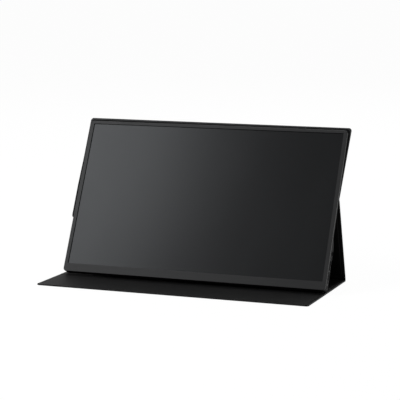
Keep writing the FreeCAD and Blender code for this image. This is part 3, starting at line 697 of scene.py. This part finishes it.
def makePanel(name, panel):
    stations = panelStations(panel)
    finishes = list(panelZones)
    profile = [(zone, pair) for zone, part in panelZones.items() for pair in panelForm[part]]
    half, halfWidth, columns = panelForm["half"], panelForm["halfWidth"], panelForm["columns"]
    work = bmesh.new()
    rubLayer = work.verts.layers.float.new("edgeRub")

    def point(u, v, inset, w):
        spot = Vector((u, v, panelForm["waveSlice"])) * panelForm["waveScale"]
        ripple = noise.noise(spot) * panelForm["wave"]
        ripple *= min(1.0, max(0.0, inset - panelForm["waveStart"]) / panelForm["waveRun"])
        depth = min(w * half + ripple, half) + panel["lift"] + panelShift(panel, v, w)
        share = v / panel["high"]
        wide = u * (1 + panel["flare"] / halfWidth * share)
        rise = v + panel["askew"] * share * (0.5 - 0.5 * u / halfWidth)
        place = panel["origin"] + across * wide + panel["along"] * rise + panel["out"] * depth
        vertex = work.verts.new(place)
        vertex[rubLayer] = max(0.0, 1.0 - inset / panelForm["rubReach"])
        return vertex

    def rowAcross(u, v, inset, w):
        return [point(u - 2 * u * c / columns, v, inset, w) for c in range(1, columns)]

    loops = []
    for zone, (insetMm, w) in profile:
        inset = insetMm * mm
        chain = outlineChain(panel, inset, stations)
        right = [point(u, v, inset, w) for u, v in chain]
        left = [point(-u, v, inset, w) for u, v in chain]
        foldEnd, farEnd = [rowAcross(u, v, inset, w) for u, v in (chain[0], chain[-1])]
        ring = right + farEnd + left[::-1] + foldEnd[::-1]
        loops.append({"zone": zone, "ring": ring, "right": right, "left": left, "foldEnd": foldEnd,
                      "farEnd": farEnd, "chain": chain, "inset": inset, "w": w})
    for loop, nextLoop in zip(loops, loops[1:]):
        ring, nextRing, zone = loop["ring"], nextLoop["ring"], nextLoop["zone"]
        # the turned-in side of the hem takes the panel's hem finish, on the leg and base the darker leather
        # copy as painted shade
        finish = panel["hem"] if zone == "leatherHem" else zone
        for i in range(len(ring)):
            j = (i + 1) % len(ring)
            face = work.faces.new((ring[i], ring[j], nextRing[j], nextRing[i]))
            face.material_index = finishes.index(finish)
    for loop in (loops[0], loops[-1]):
        inner = [rowAcross(u, v, loop["inset"], loop["w"]) for u, v in loop["chain"][1:-1]]
        inner = [loop["foldEnd"]] + inner + [loop["farEnd"]]
        grid = [[right] + row + [left] for right, row, left in zip(loop["right"], inner, loop["left"])]
        for rowA, rowB in zip(grid, grid[1:]):
            for c in range(columns):
                face = work.faces.new((rowA[c], rowA[c + 1], rowB[c + 1], rowB[c]))
                face.material_index = finishes.index(loop["zone"])
    bmesh.ops.remove_doubles(work, verts=work.verts, dist=panelForm["mergeGap"])
    mesh = closeMesh(work, name, panelForm["sharpAngle"])
    for finish in finishes:
        mesh.materials.append(materials[finish])
    piece = addPiece(name, mesh)
    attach(piece, panel["body"])
    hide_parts(*panel["replaces"])


for name, panel in panels.items():
    makePanel(name, panel)
print("folio panels:", ", ".join(panels))


# folds: the leather runs on from panel to panel without a board
foldForm = {"offset": 0.68 * mm, "thickness": 0.56 * mm, "tail": 3.4 * mm, "bendReach": 1.75 * mm,
            "halfWidth": 179.35 * mm, "bendSteps": 12, "columns": 40, "rub": 0.55,
            "sharpAngle": math.radians(50)}
folds = {
    "footFold": {"axis": stand["footFold"], "bodies": ("base", "leg"), "replaces": "foot_fold_strip",
                 "alongA": Vector((0, -1, 0)), "outA": Vector((0, 0, -1)), "liftA": 0.0,
                 "alongB": legUp, "outB": legBack, "liftB": 0.0},
    "midFold": {"axis": stand["midFold"], "bodies": ("leg", "monitor"), "replaces": "mid_fold_strip",
                "alongA": -legUp, "outA": legBack, "liftA": 0.0,
                "alongB": coverUp, "outB": coverBack, "liftB": -0.3 * mm},
}


def foldPath(fold):
    reach, tail = foldForm["bendReach"], foldForm["tail"]
    sideA = fold["axis"] + fold["outA"] * (foldForm["offset"] + fold["liftA"])
    sideB = fold["axis"] + fold["outB"] * (foldForm["offset"] + fold["liftB"])
    startA, startB = sideA + fold["alongA"] * reach, sideB + fold["alongB"] * reach
    # the two straight runs meet at the corner that the bend is drawn to
    gap = sideB - sideA
    a, b = fold["alongA"], fold["alongB"]
    cross = a.y * b.z - a.z * b.y
    corner = sideA + a * ((gap.y * b.z - gap.z * b.y) / cross)
    points = [sideA + a * tail]
    for step in range(foldForm["bendSteps"] + 1):
        t = step / foldForm["bendSteps"]
        points.append(startA * (1 - t) ** 2 + corner * (2 * t * (1 - t)) + startB * t ** 2)
    points.append(sideB + b * tail)
    return points


def makeFold(name, fold):
    path = foldPath(fold)
    half = foldForm["thickness"] / 2
    normals = []
    for i in range(len(path)):
        run = (path[min(i + 1, len(path) - 1)] - path[max(i - 1, 0)]).normalized()
        normal = run.cross(across)
        normals.append(normal if normal.dot(fold["outA"] + fold["outB"]) > 0 else -normal)
    section = [here + normal * half for here, normal in zip(path, normals)]
    section += [here - normal * half for here, normal in reversed(list(zip(path, normals)))]
    work = bmesh.new()
    rubLayer = work.verts.layers.float.new("edgeRub")
    rings = []
    for column in range(foldForm["columns"] + 1):
        u = foldForm["halfWidth"] * (2 * column / foldForm["columns"] - 1)
        ring = [work.verts.new(place + across * u) for place in section]
        for vertex in ring:
            vertex[rubLayer] = foldForm["rub"]
        rings.append(ring)
    for ringA, ringB in zip(rings, rings[1:]):
        for i in range(len(ringA)):
            j = (i + 1) % len(ringA)
            work.faces.new((ringA[i], ringA[j], ringB[j], ringB[i]))
    work.faces.new(rings[0])
    work.faces.new(rings[-1][::-1])
    mesh = closeMesh(work, name, foldForm["sharpAngle"])
    mesh.materials.append(materials["leather"])
    piece = addPiece(name, mesh)
    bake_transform(piece)
    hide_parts(fold["replaces"])


for name, fold in folds.items():
    makeFold(name, fold)
print("folds:", ", ".join(folds))


# socket contacts: rows of springs on both faces of the two tongues, by geometry nodes
contactRows = {
    "wideSocketContacts": {
        "count": 10, "pitch": 1.0 * mm, "width": 0.46 * mm, "length": 6.4 * mm, "height": 0.09 * mm,
        "tip": 175.9 * mm, "faces": (7.872 * mm, 9.328 * mm), "rise": 33.7 * mm},
    "smallSocketContacts": {
        "count": 12, "pitch": 0.5 * mm, "width": 0.27 * mm, "length": 3.9 * mm, "height": 0.06 * mm,
        "tip": 175.95 * mm, "faces": (7.152 * mm, 8.048 * mm), "rise": 18.25 * mm},
}
# side view of one spring: a flat strip with a raised nose, its tip at x 0, in shares of length and height
springShape = [(-1.0, 0.0), (-1.0, 1.0), (-0.34, 1.0), (-0.2, 1.35), (-0.1, 1.45), (-0.03, 1.1),
               (0.0, 0.3), (0.0, 0.0)]


def makeContact(name, row):
    work = bmesh.new()
    sides = []
    for edge in (-0.5, 0.5):
        corners = [(x * row["length"], h * row["height"], edge * row["width"]) for x, h in springShape]
        sides.append([work.verts.new(corner) for corner in corners])
    for i in range(len(springShape)):
        j = (i + 1) % len(springShape)
        work.faces.new((sides[0][i], sides[0][j], sides[1][j], sides[1][i]))
    work.faces.new(sides[0])
    work.faces.new(sides[1][::-1])
    return addPiece(name, closeMesh(work, name))


def rowTree(name):
    tree = bpy.data.node_groups.new(name, "GeometryNodeTree")
    inputs = {"Count": "NodeSocketInt", "Pitch": "NodeSocketFloat", "Spring": "NodeSocketObject",
              "Finish": "NodeSocketMaterial"}
    identifiers = {}
    for label, kind in inputs.items():
        identifiers[label] = tree.interface.new_socket(label, in_out="INPUT", socket_type=kind).identifier
    tree.interface.new_socket("Geometry", in_out="OUTPUT", socket_type="NodeSocketGeometry")
    given = addNode(tree, "NodeGroupInput").outputs
    gaps = mathNode(tree, "SUBTRACT", given["Count"], 1.0)
    half = times(tree, times(tree, gaps, given["Pitch"]), -0.5)
    start = feed(tree, addNode(tree, "ShaderNodeCombineXYZ"), Z=half).outputs[0]
    step = feed(tree, addNode(tree, "ShaderNodeCombineXYZ"), Z=given["Pitch"]).outputs[0]
    line = addNode(tree, "GeometryNodeMeshLine")
    feed(tree, line, Count=given["Count"], Start_Location=start, Offset=step)
    spring = feed(tree, addNode(tree, "GeometryNodeObjectInfo"), Object=given["Spring"])
    scatter = addNode(tree, "GeometryNodeInstanceOnPoints")
    feed(tree, scatter, Points=line.outputs["Mesh"], Instance=spring.outputs["Geometry"])
    real = addNode(tree, "GeometryNodeRealizeInstances")
    feed(tree, real, Geometry=scatter.outputs["Instances"])
    finish = addNode(tree, "GeometryNodeSetMaterial")
    feed(tree, finish, Geometry=real.outputs["Geometry"], Material=given["Finish"])
    feed(tree, addNode(tree, "NodeGroupOutput"), Geometry=finish.outputs["Geometry"])
    return tree, identifiers


contactTree, contactInputs = rowTree("springRow")


def realised(name, tree, values):
    maker = addPiece(name + "Maker", bpy.data.meshes.new(name + "Seed"))
    modifier = maker.modifiers.new("row", "NODES")
    modifier.node_group = tree
    for identifier, value in values.items():
        modifier[identifier] = value
    mesh = settledMesh(maker)
    mesh.name = name
    maker.modifiers.remove(modifier)
    bpy.data.objects.remove(maker)
    return mesh


for name, row in contactRows.items():
    spring = makeContact(name + "Spring", row)
    values = {"Count": row["count"], "Pitch": row["pitch"], "Spring": spring,
              "Finish": materials["goldContact"]}
    strip = realised(name, contactTree, {contactInputs[label]: value for label, value in values.items()})
    bpy.data.objects.remove(spring)
    merged = bmesh.new()
    for depth, way in zip(row["faces"], (-1, 1)):
        copy = strip.copy()
        basis = Matrix((across, monitorBack * way, monitorUp)).transposed().to_4x4()
        copy.transform(Matrix.Translation(onMonitor(row["tip"], depth, row["rise"])) @ basis)
        merged.from_mesh(copy)
        bpy.data.meshes.remove(copy)
    bmesh.ops.recalc_face_normals(merged, faces=merged.faces)
    merged.to_mesh(strip)
    merged.free()
    piece = addPiece(name, strip)
    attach(piece, "monitor")
print("socket contacts:", ", ".join(contactRows))


# studio: a large soft light from the front left, a weak one from the right, the sweep behind, an even room
studio = {
    "floorSize": 30.0, "floorColour": (0.95, 0.95, 0.95), "floorShown": 0.97, "roomLevel": 0.20,
    "aim": Vector((0.0, 0.02, 0.09)),
}
softLights = {
    "keyLight": {"azimuth": 53.0, "elevation": 37.0, "distance": 2.3, "size": 1.5, "power": 58.0,
                 "colour": (0.97, 0.985, 1.0)},
    "fillLight": {"azimuth": -62.0, "elevation": 30.0, "distance": 2.6, "size": 1.7, "power": 9.0,
                  "colour": (1.0, 1.0, 1.0)},
    "sweepLight": {"azimuth": 180.0, "elevation": 48.0, "distance": 2.6, "size": 2.2, "power": 40.0,
                   "colour": (1.0, 1.0, 1.0)},
}
photoCamera = {"place": (0.71952, -1.86424, 0.40764), "down": 8.57, "turn": 20.88, "lens": 143.54,
               "sensor": 36.0, "clip": (0.05, 100.0)}


# 1 where the eye, a mirror or glass sees the surface, 0 where the surface only lights the object
def seenRays(tree):
    path = addNode(tree, "ShaderNodeLightPath").outputs
    total = mathNode(tree, "ADD", path["Is Camera Ray"], path["Is Glossy Ray"])
    return mathNode(tree, "MINIMUM", mathNode(tree, "ADD", total, path["Is Transmission Ray"]), 1.0)


def makeWorld():
    world = bpy.data.worlds.new("studioRoom")
    bpy.context.scene.world = world
    world.use_nodes = True
    tree = world.node_tree
    tree.nodes.clear()
    background = addNode(tree, "ShaderNodeBackground")
    strength = spread(tree, seenRays(tree), studio["roomLevel"], 1.0)
    feed(tree, background, Color=(1, 1, 1, 1), Strength=strength)
    feed(tree, addNode(tree, "ShaderNodeOutputWorld"), Surface=background.outputs[0])


def makeFloor():
    half = studio["floorSize"]
    corners = [(-half, -half, 0), (half, -half, 0), (half, half, 0), (-half, half, 0)]
    mesh = bpy.data.meshes.new("studioFloor")
    mesh.from_pydata(corners, [], [(0, 1, 2, 3)])
    material = bpy.data.materials.new("paleFloor")
    material.use_nodes = True
    tree = material.node_tree
    tree.nodes.clear()
    matt = feed(tree, addNode(tree, "ShaderNodeBsdfDiffuse"), Color=(*studio["floorColour"], 1))
    white = feed(tree, addNode(tree, "ShaderNodeEmission"), Color=(1, 1, 1, 1))
    mix = addNode(tree, "ShaderNodeMixShader")
    shown = times(tree, seenRays(tree), studio["floorShown"])
    for socket, value in zip(mix.inputs, (shown, matt.outputs[0], white.outputs[0])):
        fill(tree, socket, value)
    feed(tree, addNode(tree, "ShaderNodeOutputMaterial"), Surface=mix.outputs[0])
    mesh.materials.append(material)
    addPiece("studioFloor", mesh)


def makeSoftLight(name, light):
    lamp = bpy.data.lights.new(name, "AREA")
    lamp.shape = "DISK"
    lamp.size = light["size"]
    lamp.color = light["colour"]
    lamp.energy = light["power"]
    holder = addPiece(name, lamp)
    turn, rise = math.radians(light["azimuth"]), math.radians(light["elevation"])
    way = Vector((-math.sin(turn) * math.cos(rise), -math.cos(turn) * math.cos(rise), math.sin(rise)))
    holder.location = studio["aim"] + way * light["distance"]
    holder.rotation_euler = (-way).to_track_quat("-Z", "Y").to_euler()


def makeCamera():
    data = bpy.data.cameras.new("photoCamera")
    data.sensor_width = photoCamera["sensor"]
    data.lens = photoCamera["lens"]
    data.clip_start, data.clip_end = photoCamera["clip"]
    camera = addPiece("photoCamera", data)
    camera.location = photoCamera["place"]
    camera.rotation_euler = (math.radians(90 - photoCamera["down"]), 0, math.radians(photoCamera["turn"]))
    bpy.context.scene.camera = camera


makeWorld()
makeFloor()
for name, light in softLights.items():
    makeSoftLight(name, light)
makeCamera()
bpy.context.scene.view_settings.view_transform = "Standard"
print("studio ready")
